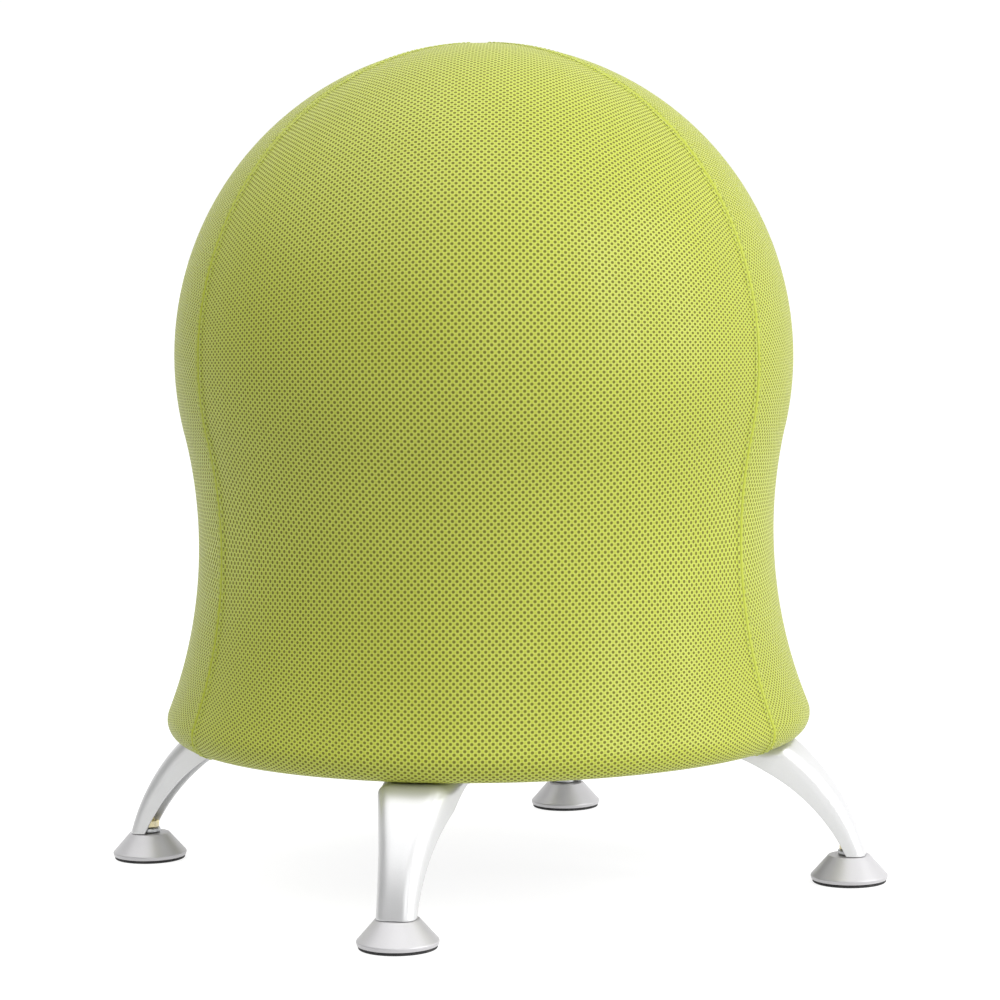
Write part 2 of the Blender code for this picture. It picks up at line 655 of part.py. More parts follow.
def make_legs():
    leg = leg_mesh()
    bolt = leg_bolt_mesh()
    bolt_nut = nut_mesh("leg_nut", BOLT_NUT_RADIUS, BOLT_HOLE, RING_TOP + GAP, BOLT_NUT_HEIGHT, STEEL)
    plate = foot_plate_mesh()
    cone = glide_cone_mesh()
    pad = glide_pad_mesh()
    stud = glide_stud_mesh()
    nut = nut_mesh("glide_nut", GLIDE_NUT_RADIUS, STUD_HOLE, LEG_END + PLATE_THICK + GAP,
                   GLIDE_NUT_HEIGHT, ZINC)
    foot = (FOOT_RADIUS, 0.0, 0.0)
    for side, degrees in SIDES.items():
        station = bpy.data.objects.new("station_" + side, None)
        station.rotation_euler.z = math.radians(degrees)
        station.empty_display_size = 0.02
        PARTS.objects.link(station)
        place("leg_" + side, leg, station, (0.0, 0.0, 0.0))
        place("foot_plate_" + side, plate, station, foot)
        place("glide_cone_" + side, cone, station, foot)
        place("glide_pad_" + side, pad, station, foot)
        place("glide_stud_" + side, stud, station, foot)
        place("glide_nut_" + side, nut, station, foot, 30.0)
        for label, radius in zip(("inner", "outer"), BOLT_PLACES):
            place(f"leg_bolt_{side}_{label}", bolt, station, (radius, 0.0, 0.0))
            place(f"leg_nut_{side}_{label}", bolt_nut, station, (radius, 0.0, 0.0))


make_ball()
make_cover()
make_zip()
make_pan()
make_legs()
bpy.context.view_layer.update()
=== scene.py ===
"""Looks of the ball chair: mesh cover with its seams, silver legs on cone glides, and the base below.

Metres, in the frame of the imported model: +Z up, the floor at zero, the ball's middle on the Z axis.
"""
import json
import math

import bmesh
import bpy
import numpy as np
from mathutils import Matrix, Vector


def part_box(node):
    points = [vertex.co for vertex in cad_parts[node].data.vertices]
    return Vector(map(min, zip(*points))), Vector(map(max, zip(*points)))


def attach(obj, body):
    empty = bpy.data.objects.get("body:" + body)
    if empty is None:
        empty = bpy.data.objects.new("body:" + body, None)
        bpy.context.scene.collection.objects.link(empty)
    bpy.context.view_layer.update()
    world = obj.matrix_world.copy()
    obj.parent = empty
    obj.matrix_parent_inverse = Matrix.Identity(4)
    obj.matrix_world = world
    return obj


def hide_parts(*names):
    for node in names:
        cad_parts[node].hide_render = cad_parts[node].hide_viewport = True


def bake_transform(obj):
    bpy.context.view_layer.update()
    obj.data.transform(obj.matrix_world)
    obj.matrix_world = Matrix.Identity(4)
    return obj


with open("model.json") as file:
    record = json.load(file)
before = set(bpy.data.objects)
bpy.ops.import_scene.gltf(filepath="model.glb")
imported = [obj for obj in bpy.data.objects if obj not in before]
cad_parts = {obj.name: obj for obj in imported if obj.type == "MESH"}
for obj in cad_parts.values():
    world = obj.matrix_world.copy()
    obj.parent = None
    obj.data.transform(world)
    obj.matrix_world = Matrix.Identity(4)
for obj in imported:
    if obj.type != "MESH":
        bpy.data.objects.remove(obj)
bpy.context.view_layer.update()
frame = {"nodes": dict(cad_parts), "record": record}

# ---------------------------------------------------------------- sizes of the design
GAP = 0.0003                # running gap between pieces that touch

COVER_RADIUS = 0.2192       # outside of the cover round the middle of the ball
COVER_RISE = 0.2211         # from the middle of the ball to the top of the cover
BALL_MIDDLE = 0.3692        # height of the middle of the ball
WAIST_HEIGHT = 0.2435       # narrowest place, where the cover necks in under the ball
FLARE_RADIUS = 0.3296       # radius of the hollow curve from the ball down to the rim
RIM_RADIUS = 0.2295         # widest place of the flare
RIM_ROUND = 0.0150          # radius that turns the rim under
FLARE_CENTRE = math.sqrt((COVER_RADIUS + FLARE_RADIUS) ** 2 - (BALL_MIDDLE - WAIST_HEIGHT) ** 2)
RIM_CENTRE = RIM_RADIUS - RIM_ROUND
RIM_CENTRE_HEIGHT = WAIST_HEIGHT - math.sqrt(
    (FLARE_RADIUS + RIM_ROUND) ** 2 - (FLARE_CENTRE - RIM_CENTRE) ** 2)
COVER_BOTTOM = RIM_CENTRE_HEIGHT - RIM_ROUND
GORE_INNER = 0.1900         # the panels end here, on the underside
BAND_INNER = 0.1510         # inner edge of the underside band

BLADDER_INSET = 0.0028      # the ball lies this far inside the cover's outer surface
BLADDER_THICK = 0.0025
VALVE_HOLE = 0.0045
BALL_RIB = 0.0003           # height of the fine ribs round the ball's underside
BALL_RIB_RATE = 150.0       # ribs to a full turn
BALL_RIB_TOP = -65.0        # latitude where the ribs begin

# directions of the seams, the seam that each panel starts at, and directions of the legs, in degrees
SEAM_TURNS = {"right": -18.75, "back": 101.25, "left": 221.25}
PANELS = {"cover_gore_back_right": "right", "cover_gore_back_left": "back", "cover_gore_front": "left"}
GORE_SWEEP = 120.0
SIDES = {"front": -90.0, "right": 0.0, "back": 90.0, "left": 180.0}

MESH_THICK = 0.0018         # thickness that the cover shows at its edges
HOLE_PITCH = 0.00464        # distance between mesh holes, across and along a panel
HOLE_HALF_WIDTH = 0.00120
HOLE_HALF_LENGTH = 0.00118
ROW_BOW = 0.9               # how strongly the rows of holes bow where the panel narrows
ROW_EASE = 61               # the bow is evened out over this many rows of points, an odd number
STITCH_FROM_SEAM = 0.0045
STITCH_PITCH = 0.0036
STITCH_LENGTH = 0.0029
STITCH_ENDS = (0.0120, 0.0040)      # the rows stop this far from the crown and from the underside edge
STITCH_LIFT = 0.0006
STITCH_SINK = 0.00035       # how far a stitch's ends go down from its middle
THREAD_RADIUS = 0.00024
SEAM_GROOVE = (-0.0004, 0.0, 0.0005)        # height, distance from the seam and width of a ridge
SEAM_WELT = (0.0006, 0.0030, 0.0020)
STITCH_DIP = (-0.0002, STITCH_FROM_SEAM, 0.0007)
SEAM_PUCKER = (0.00016, 0.0060, 0.0060)
PUCKER_PITCH = 0.0095

LEG_SHEET = 0.0025          # steel sheet of the legs
LEG_END = 0.0195            # height of the leg's lower end
LEG_START = LEG_END - LEG_SHEET     # the skin starts lower, and is trimmed level at LEG_END
LEG_FACE_RADIUS = 0.1470    # arc of the outer face, seen from the side
LEG_FACE_CENTRE = (0.1285, -0.0176)
LEG_KNEE_RADIUS = 0.0070    # turns the outer face level under the rim
LEG_EDGE_RADIUS = 0.1420    # arc of the lower edges of the two side walls
LEG_EDGE_CENTRE = (0.1298, -0.0409)
LEG_EDGE_KNEE = 0.2050      # radius at which the lower edge is abreast of the knee
LEG_EDGE_TOP = 0.0925       # the lower edges run level from this height
LEG_INNER = 0.1000          # the legs end here, under the pan
LEG_FOOT_WIDTH = 0.0262
LEG_HUB_WIDTH = 0.0680
LEG_FLARE = 1.90            # how late the width grows along the leg
LEG_CORNER = 0.0110         # outer rounding between the face and the side walls
BOLT_PLACES = (0.1120, 0.1340)
BOLT_HOLE = 0.0034
BOLT_CUT = 0.012            # length of the tool that cuts a bolt hole

FOOT_RADIUS = 0.2588        # circle on which the glides stand
GLIDE_BASE = 0.0270
GLIDE_TOP = 0.0150
GLIDE_HEIGHT = 0.0190
GLIDE_LIP = 0.0043          # height of the cone's widest place
GLIDE_TUCK = 0.0005         # how far the cone draws in below it
GLIDE_SKIRT = 0.0010        # how far the cone's edge hangs down round the pad
GLIDE_TOP_ROUND = 0.0009
GLIDE_LIP_ROUND = 0.0016
STUD_HOLE = 0.0043
STUD_SOCKET = 0.0040        # depth of the hole in the cone's top
PAD_RADIUS = 0.0258
PAD_THICK = 0.0030
PAD_TOP_ROUND = 0.0004
PAD_FOOT_ROUND = 0.0008
STUD_RADIUS = 0.0040
STUD_FOOT = 0.0085
STUD_TOP = 0.0320
STUD_POINT = 0.0015         # height over which the stud's end narrows
THREAD_PITCH = 0.00125
THREAD_DEPTH = 0.00055

PAN_INSET = 0.0028          # the pan lies this far inside the cover's outer surface
PAN_WALL = 0.0035
PAN_LIP_TOP = 0.1400        # how far the pan's rim stands up inside the cover
PAN_STEP = 0.1505           # the floor of the pan steps down to the land inside this radius
PAN_UNDER = COVER_BOTTOM + PAN_INSET
PAN_FLOOR = PAN_UNDER + PAN_WALL
LAND_OUTER = 0.1470         # flat land that the legs are bolted against
LAND_INNER = 0.0985
LAND_DROP = 0.0035          # how far the land stands below the floor of the pan
LAND_EDGE = 0.0010          # the land's upper corner stands this far inside its outer edge
LAND_UNDER = PAN_UNDER - LAND_DROP
LAND_TOP = LAND_UNDER + PAN_WALL
LEG_TOP = LAND_UNDER - GAP
CRADLE_INNER = 0.1470       # the cradle's wall, where it stands on the floor of the pan
CRADLE_FLANGE = 0.1610      # outer edge of its foot
CRADLE_CREST = 0.0040       # flat top outside the band that the ball sits on
CRADLE_LIP = 0.0045         # thickness of the cradle under the ball
CRADLE_SEAT = (-53.0, -50.0)        # latitudes of the ball between which it sits on the cradle
MOULD_ROUND = 0.0008        # rounding of the moulded edges

ZIP_START = 107.0           # direction of the closed end of the zip, degrees
ZIP_SWEEP = 56.0
ZIP_RADIUS = 0.1900
ZIP_WIDTH = 0.0080
ZIP_MARGIN = 0.6            # the teeth start this many degrees inside the tape's ends
TAPE_ABOVE = 0.0008         # the tape's underside stands this far above the teeth's
TOOTH_PITCH = 0.0013
TOOTH_ROW = 0.0016          # half width of the double row of teeth
TOOTH_REACH = (0.0024, 0.0020, 0.0010, 0.0, -0.0005, -0.0007)       # along a tooth, out from the middle
TOOTH_DROP = (0.00010, 0.00030, 0.00045, 0.00045, 0.00040, 0.00010)
TOOTH_GIRTH = (0.00012, 0.00030, 0.00033, 0.00033, 0.00030, 0.00012)

WORLD_BRIGHT_SIDE = (0.60, 0.77, 0.15)      # direction of the studio's white wall
WORLD_FADE = (-0.80, 0.30, 0.18, 1.03)      # dot products and strengths, dim side to bright side
BACKDROP = 1.03             # strength of the world where it is seen directly
FLOOR_SEEN = 0.85           # glow of the floor where it is seen directly
FLOOR_MIRRORED = 0.75       # glow where it is seen in the silver legs
FLOOR_BOUNCE = 0.55         # glow that it gives to the chair
FLOOR_DIM_SIDE = (-0.45, -0.89, 0.0)        # it gives less from this side
FLOOR_FADE = (0.20, 0.90, 1.0, 0.25)        # distances on that side, and shares of the glow
FLOOR_HALF = 40.0


# ---------------------------------------------------------------- building materials from nodes
class Look:
    """A Principled material and short calls that add nodes to it."""

    def __init__(self, name, roughness=0.5, metallic=0.0):
        self.material = bpy.data.materials.new(name)
        self.material.use_nodes = True
        self.tree = self.material.node_tree
        self.shader = self.tree.nodes["Principled BSDF"]
        self.set("Roughness", roughness)
        self.set("Metallic", metallic)

    def set(self, socket, value):
        """Gives the shader a value, or links a node's output to it."""
        self.feed(self.shader.inputs[socket], value)

    def feed(self, socket, value):
        if isinstance(value, bpy.types.NodeSocket):
            self.tree.links.new(value, socket)
        elif isinstance(value, tuple) and len(value) == 3 and socket.type == "RGBA":
            socket.default_value = (*value, 1.0)
        else:
            socket.default_value = value

    def node(self, kind, **settings):
        made = self.tree.nodes.new("ShaderNode" + kind)
        for key, value in settings.items():
            setattr(made, key, value)
        return made

    def math(self, operation, *values):
        made = self.node("Math", operation=operation)
        for socket, value in zip(made.inputs, values):
            self.feed(socket, value)
        return made.outputs[0]

    def place(self):
        return self.node("TexCoord").outputs["Object"]

    def stretched(self, vector, scale):
        mapping = self.node("Mapping")
        self.feed(mapping.inputs["Vector"], vector)
        mapping.inputs["Scale"].default_value = scale
        return mapping.outputs[0]

    def noise(self, scale, detail=3.0, vector=None):
        made = self.node("TexNoise")
        self.feed(made.inputs["Vector"], vector or self.place())
        made.inputs["Scale"].default_value = scale
        made.inputs["Detail"].default_value = detail
        return made.outputs["Fac"]

    def between(self, value, low, high, out_low=0.0, out_high=1.0):
        """Maps a value between two limits to another pair of values, easing in and out."""
        made = self.node("MapRange", interpolation_type="SMOOTHSTEP")
        for socket, number in zip(made.inputs, (value, low, high, out_low, out_high)):
            self.feed(socket, number)
        return made.outputs[0]

    def mix(self, share, first, second):
        """Mixes two colours; sockets 6, 7 and 2 are the ones that a mix of colours uses."""
        made = self.node("Mix", data_type="RGBA")
        self.feed(made.inputs[0], share)
        self.feed(made.inputs[6], first)
        self.feed(made.inputs[7], second)
        return made.outputs[2]

    def bump(self, height, distance, strength):
        made = self.node("Bump")
        made.inputs["Strength"].default_value = strength
        made.inputs["Distance"].default_value = distance
        self.feed(made.inputs["Height"], height)
        self.set("Normal", made.outputs[0])


def air_mesh_look():
    """Knitted spacer mesh: staggered round holes painted dark as painted shade inside them, a painted
    highlight on the raised yarn round them, closed beside the seams.
    """
    look = Look("air_mesh_green")
    weave = look.node("Attribute", attribute_name="weave").outputs["Vector"]
    split = look.node("SeparateXYZ")
    look.feed(split.inputs[0], weave)
    waver = look.math("MULTIPLY", look.math("SUBTRACT", look.noise(55.0, 1.0), 0.5), 0.0007)
    across = look.math("ADD", split.outputs["X"], waver)
    along = look.math("ADD", split.outputs["Y"], waver)

    def from_middle(shift):
        side = look.math("WRAP", look.math("ADD", across, shift), 0.5 * HOLE_PITCH, -0.5 * HOLE_PITCH)
        tip = look.math("WRAP", look.math("ADD", along, shift), 0.5 * HOLE_PITCH, -0.5 * HOLE_PITCH)
        side = look.math("DIVIDE", side, HOLE_HALF_WIDTH)
        tip = look.math("DIVIDE", tip, HOLE_HALF_LENGTH)
        return look.math("ADD", look.math("MULTIPLY", side, side), look.math("MULTIPLY", tip, tip))

    from_hole = look.math("MINIMUM", from_middle(0.0), from_middle(0.5 * HOLE_PITCH))
    beside_seam = look.between(split.outputs["Z"], 0.0014, 0.0027)
    hole_shade_share = look.math("MULTIPLY", look.between(from_hole, 0.65, 1.15, 1.0, 0.0), beside_seam)
    rim_highlight_share = look.math("MULTIPLY", look.between(from_hole, 0.85, 1.15),
                          look.between(from_hole, 1.25, 1.9, 1.0, 0.0))

    strands = look.noise(900.0, 2.0, look.stretched(weave, (1.0, 0.25, 1.0)))
    patches = look.noise(14.0, 2.0)
    yarn = look.mix(look.between(patches, 0.3, 0.7), (0.455, 0.518, 0.034), (0.480, 0.544, 0.041))
    yarn = look.mix(look.between(strands, 0.35, 0.7, 0.0, 0.45), yarn, (0.385, 0.437, 0.027))
    # Painted highlight: the raised yarn round each hole is painted a lighter, whiter green.
    yarn = look.mix(look.math("MULTIPLY", rim_highlight_share, 0.75), yarn, (0.70, 0.75, 0.165))
    yarn = look.mix(look.between(beside_seam, 0.0, 1.0, 0.85, 0.0), yarn, (0.43, 0.485, 0.036))
    # Painted shade: the holes are painted dark olive for the shade inside them.
    look.set("Base Color", look.mix(hole_shade_share, yarn, (0.170, 0.172, 0.018)))
    raised = look.math("ADD", 1.0, look.math("MULTIPLY", rim_highlight_share, 0.25))
    height = look.math("SUBTRACT", raised, hole_shade_share)
    height = look.math("ADD", height, look.math("MULTIPLY", strands, 0.09))
    look.bump(height, 0.0007, 0.6)
    look.set("Sheen Weight", 0.12)
    look.set("Sheen Roughness", 0.45)
    look.set("Sheen Tint", (0.62, 0.72, 0.08))
    look.set("Roughness", look.between(hole_shade_share, 0.0, 1.0, 0.32, 0.80))
    look.set("Specular IOR Level", 0.44)
    return look.material


def thread_look():
    """Twisted sewing thread."""
    look = Look("seam_thread_green", roughness=0.6)
    twist = look.node("TexWave", bands_direction="DIAGONAL")
    twist.inputs["Scale"].default_value = 900.0
    look.feed(twist.inputs["Vector"], look.place())
    look.set("Base Color", look.mix(twist.outputs["Fac"], (0.50, 0.57, 0.08), (0.64, 0.71, 0.19)))
    look.bump(twist.outputs["Fac"], 0.0001, 0.6)
    look.set("Sheen Weight", 0.2)
    return look.material


def silver_look(name, colour, roughness, metallic, grain):
    """Silver coat: fine metallic flake, faint orange peel and slightly uneven gloss."""
    look = Look(name, metallic=metallic)
    flake = look.node("TexVoronoi")
    flake.inputs["Scale"].default_value = 2600.0
    look.feed(flake.inputs["Vector"], look.place())
    light, dark = tuple(1.05 * c for c in colour), tuple(0.86 * c for c in colour)
    spark = look.mix(0.35, colour, look.mix(flake.outputs["Distance"], dark, light))
    cloud = look.noise(22.0, 3.0)
    look.set("Base Color", look.mix(look.between(cloud, 0.35, 0.7, 0.0, 0.25), spark, dark))
    look.set("Roughness", look.between(look.noise(60.0, 4.0), 0.3, 0.7, roughness - 0.02, roughness + 0.03))
    look.bump(look.noise(grain, 2.0), 0.0002, 0.1)
    look.set("Coat Weight", 0.15)
    look.set("Coat Roughness", 0.25)
    return look.material


def plated_look(name, colour, tint, roughness):
    """Zinc plate on steel, with fine drawing lines and cloudy colour."""
    look = Look(name, roughness, 1.0)
    cloud = look.noise(160.0, 3.0)
    look.set("Base Color", look.mix(look.between(cloud, 0.35, 0.65), colour, tint))
    lines = look.noise(500.0, 3.0, look.stretched(look.place(), (1.0, 1.0, 8.0)))
    look.set("Roughness", look.between(lines, 0.3, 0.7, roughness - 0.08, roughness + 0.12))
    look.bump(lines, 0.00005, 0.5)
    return look.material


def rubber_look():
    """Black rubber with a little dust."""
    look = Look("pad_rubber", roughness=0.72)
    dust = look.between(look.noise(240.0, 4.0), 0.45, 0.75)
    look.set("Base Color", look.mix(dust, (0.014, 0.014, 0.015), (0.045, 0.043, 0.040)))
    look.bump(look.noise(1500.0, 2.0), 0.0001, 0.5)
    return look.material


def moulded_look():
    """Black moulded plastic with a fine spark-eroded grain."""
    look = Look("pan_plastic", roughness=0.48)
    grain = look.node("TexVoronoi", feature="SMOOTH_F1")
    grain.inputs["Scale"].default_value = 1300.0
    look.feed(grain.inputs["Vector"], look.place())
    haze = look.noise(30.0, 3.0)
    look.set("Base Color", look.mix(haze, (0.020, 0.020, 0.021), (0.036, 0.036, 0.037)))
    look.set("Roughness", look.between(haze, 0.3, 0.7, 0.42, 0.56))
    look.bump(grain.outputs["Distance"], 0.00012, 0.5)
    return look.material


def band_look():
    """Plain black weave that runs round the band."""
    look = Look("band_fabric", roughness=0.9)
    weave = look.node("Attribute", attribute_name="weave").outputs["Vector"]
    split = look.node("SeparateXYZ")
    look.feed(split.inputs[0], weave)
    pitch = 0.0008
    warp = look.math("SINE", look.math("MULTIPLY", split.outputs["X"], math.pi / pitch))
    weft = look.math("SINE", look.math("MULTIPLY", split.outputs["Y"], math.pi / pitch))
    over = look.math("MULTIPLY", warp, weft)
    height = look.between(over, -0.6, 0.6)
    look.set("Base Color", look.mix(height, (0.010, 0.010, 0.011), (0.034, 0.034, 0.036)))
    look.bump(height, 0.00025, 0.7)
    look.set("Sheen Weight", 0.3)
    return look.material


def vinyl_look():
    """Grey vinyl of the ball, slightly cloudy."""
    look = Look("ball_vinyl", roughness=0.38)
    cloud = look.noise(9.0, 3.0)
    look.set("Base Color", look.mix(cloud, (0.40, 0.41, 0.43), (0.50, 0.51, 0.53)))
    look.bump(look.noise(700.0, 2.0), 0.0001, 0.3)
    return look.material


def valve_look():
    """White plastic of the plug."""
    look = Look("valve_plastic", roughness=0.4)
    look.set("Base Color", look.mix(look.noise(80.0), (0.78, 0.78, 0.74), (0.88, 0.88, 0.85)))
    look.bump(look.noise(900.0), 0.00005, 0.4)
    return look.material


def nylon_look():
    """Black nylon of the zip's tape and teeth."""
    look = Look("zip_nylon", roughness=0.5)
    look.set("Base Color", look.mix(look.noise(400.0), (0.015, 0.015, 0.016), (0.040, 0.040, 0.042)))
    look.bump(look.noise(2500.0), 0.0001, 0.6)
    return look.material


# ---------------------------------------------------------------- mesh helpers
def new_piece(name, mesh, material):
    """An object in the scene with one material."""
    piece = bpy.data.objects.new(name, mesh)
    bpy.context.scene.collection.objects.link(piece)
    mesh.materials.clear()
    mesh.materials.append(material)
    return piece


def smooth(mesh, sharp_degrees=40.0):
    """Shades a mesh smooth, apart from its sharp edges."""
    mesh.shade_smooth()
    mesh.set_sharp_from_angle(angle=math.radians(sharp_degrees))
    return mesh


def mesh_of(builder, name, sharp_degrees=40.0):
    """A finished mesh from a bmesh, which it frees."""
    mesh = bpy.data.meshes.new(name)
    builder.to_mesh(mesh)
    builder.free()
    return smooth(mesh, sharp_degrees)


def grid_mesh(name, points, loop=False, weave=None):
    """A mesh over an array of rows by columns by 3; loop joins the last column to the first."""
    rows, columns = points.shape[:2]
    index = np.arange(rows * columns).reshape(rows, columns)
    following = np.roll(index, -1, axis=1) if loop else index[:, 1:]
    index = index if loop else index[:, :-1]
    quads = np.stack([index[:-1], index[1:], following[1:], following[:-1]], axis=-1).reshape(-1, 4)
    mesh = bpy.data.meshes.new(name)
    mesh.from_pydata(points.reshape(-1, 3).tolist(), [], quads.tolist())
    if weave is not None:
        flat = np.float32(weave.reshape(-1))
        mesh.attributes.new("weave", "FLOAT_VECTOR", "POINT").data.foreach_set("vector", flat)
    return mesh


def merge_close(mesh):
    """Joins points that lie on each other and turns all faces outwards."""
    builder = bmesh.new()
    builder.from_mesh(mesh)
    bmesh.ops.remove_doubles(builder, verts=builder.verts, dist=0.00002)
    bmesh.ops.recalc_face_normals(builder, faces=builder.faces)
    builder.to_mesh(mesh)
    builder.free()
    return smooth(mesh)


def arc(centre, radius, start, end, steps):
    """Points along an arc in the (radius, height) plane, angles in degrees."""
    angles = np.radians(np.linspace(start, end, steps + 1))
    return [(centre[0] + radius * math.cos(a), centre[1] + radius * math.sin(a)) for a in angles]


def rounded(outline, radius, steps=4):
    """A closed outline with its corners turned into small arcs, as far as its sides allow."""
    result = []
    count = len(outline)
    for i in range(count):
        before, corner, after = (Vector(outline[(i + k) % count]) for k in (-1, 0, 1))
        reach = min(radius, 0.45 * (before - corner).length, 0.45 * (after - corner).length)
        start = corner + (before - corner).normalized() * reach
        end = corner + (after - corner).normalized() * reach
        for j in range(steps + 1):
            t = j / steps
            result.append(tuple((1 - t) ** 2 * start + 2 * t * (1 - t) * corner + t * t * end))
    return result


def swept(chain, angles, centre=(0.0, 0.0)):
    """The points of an array of (radius, height) rows at each angle about an upright axis."""
    points = np.empty((len(chain), len(angles), 3))
    points[:, :, 0] = centre[0] + chain[:, :1] * np.cos(angles)
    points[:, :, 1] = centre[1] + chain[:, :1] * np.sin(angles)
    points[:, :, 2] = chain[:, 1:]
    return points


def turned(name, outline, steps, closed=True, centre=(0.0, 0.0)):
    """An outline of (radius, height) points turned once about an upright axis."""
    chain = np.array(outline + outline[:1] if closed else outline)
    angles = np.linspace(0.0, 2.0 * math.pi, steps, endpoint=False)
    return merge_close(grid_mesh(name, swept(chain, angles, centre), loop=True))


def add_tube(builder, core, first, second, radii, sides):
    """A closed tube round a chain of points, on two directions across it."""
    rings = []
    for point, a, b, radius in zip(core, first, second, radii):
        around = [point + radius * (math.cos(s) * a + math.sin(s) * b) for s in sides]
        rings.append([builder.verts.new(place) for place in around])
    for low, high in zip(rings, rings[1:]):
        for i in range(len(sides)):
            j = (i + 1) % len(sides)
            builder.faces.new((low[i], low[j], high[j], high[i]))
    builder.faces.new(rings[0][::-1])
    builder.faces.new(rings[-1])


def spaced(points, steps):
    """A chain of points replaced by others at equal distances along it."""
    chain = np.array(points)
    lengths = np.concatenate([[0.0], np.cumsum(np.linalg.norm(np.diff(chain, axis=0), axis=1))])
    wanted = np.linspace(0.0, lengths[-1], steps + 1)
    return np.stack([np.interp(wanted, lengths, chain[:, k]) for k in range(chain.shape[1])], axis=1)


def body_of(node):
    """The body that a CAD node moves with."""
    bodies = frame["record"]["behaviour"]["bodies"]
    return next(body for body, nodes in bodies.items() if node in nodes)


def refined(node, name, material, bevel=0.0003, segments=2):
    """The shape of a CAD node with its faces merged into plain ones and its edges broken."""
    builder = bmesh.new()
    builder.from_mesh(frame["nodes"][node].data)
    bmesh.ops.remove_doubles(builder, verts=builder.verts, dist=0.00001)
    bmesh.ops.dissolve_limit(builder, angle_limit=math.radians(1.0),
                             verts=builder.verts, edges=builder.edges)
    piece = new_piece(name, mesh_of(builder, name, 35.0), material)
    rounding = piece.modifiers.new("Edges", "BEVEL")
    rounding.width = bevel
    rounding.segments = segments
    rounding.limit_method = "ANGLE"
    rounding.angle_limit = math.radians(35.0)
    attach(piece, body_of(node))
    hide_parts(node)
    return piece


# ---------------------------------------------------------------- surface of the cover
def cover_line(inset):
    """Outline of the cover's outer surface, crown to underside edge, moved in by an inset."""
    latitude = -math.degrees(math.atan2(BALL_MIDDLE - WAIST_HEIGHT, FLARE_CENTRE))
    points = []
    for degrees in np.linspace(90.0, latitude, 240):
        angle = math.radians(degrees)
        points.append(((COVER_RADIUS - inset) * math.cos(angle),
                       BALL_MIDDLE + (COVER_RISE - inset) * math.sin(angle)))
    points[0] = (0.0, points[0][1])
    rim_side = math.degrees(math.atan2(RIM_CENTRE_HEIGHT - WAIST_HEIGHT, RIM_CENTRE - FLARE_CENTRE))
    flare = arc((FLARE_CENTRE, WAIST_HEIGHT), FLARE_RADIUS + inset, 180.0 + latitude, rim_side + 360.0, 120)
    rim = arc((RIM_CENTRE, RIM_CENTRE_HEIGHT), RIM_ROUND - inset, rim_side + 180.0, -90.0, 60)
    points += flare[1:] + rim[1:]
    points.append((GORE_INNER, COVER_BOTTOM + inset))
    return points


class Surface:
    """The cover's outer surface, addressed by distance from the crown and direction."""

    def __init__(self):
        line = spaced(cover_line(0.0), 1600)
        self.length = float(np.linalg.norm(np.diff(line, axis=0), axis=1).sum())
        self.along = np.linspace(0.0, self.length, len(line))
        self.radius, self.height = line[:, 0], line[:, 1]
        slope = np.gradient(line, axis=0)
        slope /= np.linalg.norm(slope, axis=1)[:, None]
        self.out, self.up = -slope[:, 1], slope[:, 0]

    def ring(self, along):
        """Radius at a distance from the crown."""
        return np.interp(along, self.along, self.radius)

    def points(self, along, angle, lift):
        """Points at distances from the crown and directions, lifted off the surface."""
        radius = self.ring(along) + lift * np.interp(along, self.along, self.out)
        height = np.interp(along, self.along, self.height) + lift * np.interp(along, self.along, self.up)
        return np.stack([radius * np.cos(angle), radius * np.sin(angle), height], axis=-1)


def ridge(distance, height, place, width):
    """Height of a rounded ridge that runs beside a seam."""
    return height * np.exp(-((distance - place) / width) ** 2)


def seam_lift(distance, along):
    """Relief beside a seam: a groove, a welt over the allowance, a dip under the stitches, puckers."""
    puckers = np.sin(2.0 * math.pi * along / PUCKER_PITCH) * ridge(distance, *SEAM_PUCKER)
    return (ridge(distance, *SEAM_GROOVE) + ridge(distance, *SEAM_WELT)
            + ridge(distance, *STITCH_DIP) + puckers)


def panel_columns(sweep):
    """Directions across a panel as shares of it, close together beside both seams."""
    near = np.array([0.0, 0.0005, 0.0011, 0.0018, 0.0026, 0.0035, 0.0045, 0.0056, 0.0069, 0.0084, 0.0105])
    half_width = 0.5 * sweep * COVER_RADIUS
    rest = np.linspace(0.0140, half_width, 40)
    half = np.concatenate([near, rest]) / (2.0 * half_width)
    return np.concatenate([half, 1.0 - half[-2::-1]])


def cover_panel(node, surface, material):
    """One panel of the cover, with the relief of its seams and the lie of its weave."""
    sweep = math.radians(GORE_SWEEP)
    start = math.radians(SEAM_TURNS[PANELS[node]])
    along = np.linspace(0.0, surface.length, 300)[:, None]
    ring = surface.ring(along)
    share = panel_columns(sweep)[None, :]
    side = np.minimum(0.5 * GAP / np.maximum(ring, 1e-4), 0.5 * sweep)
    turn = side + share * (sweep - 2.0 * side)
    distance = ring * np.minimum(turn, sweep - turn)
    lift = seam_lift(distance, along) * np.clip(ring / 0.02, 0.0, 1.0)
    points = surface.points(along + 0.0 * turn, start + turn, lift)
    off_middle = turn - 0.5 * sweep
    bow = 0.5 * ROW_BOW * ring[:, 0] * np.gradient(ring[:, 0], along[:, 0])
    for _ in range(2):
        bow = np.convolve(np.pad(bow, ROW_EASE // 2, "edge"), np.ones(ROW_EASE) / ROW_EASE, "valid")
    rows = along - bow[:, None] * off_middle ** 2
    weave = np.stack([ring * off_middle, rows, distance], axis=-1)
    name = node.replace("gore", "panel")
    piece = new_piece(name, merge_close(grid_mesh(name, points, weave=weave)), material)
    thickness = piece.modifiers.new("Thickness", "SOLIDIFY")
    thickness.thickness = MESH_THICK
    thickness.offset = -1.0
    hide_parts(node)
    return piece


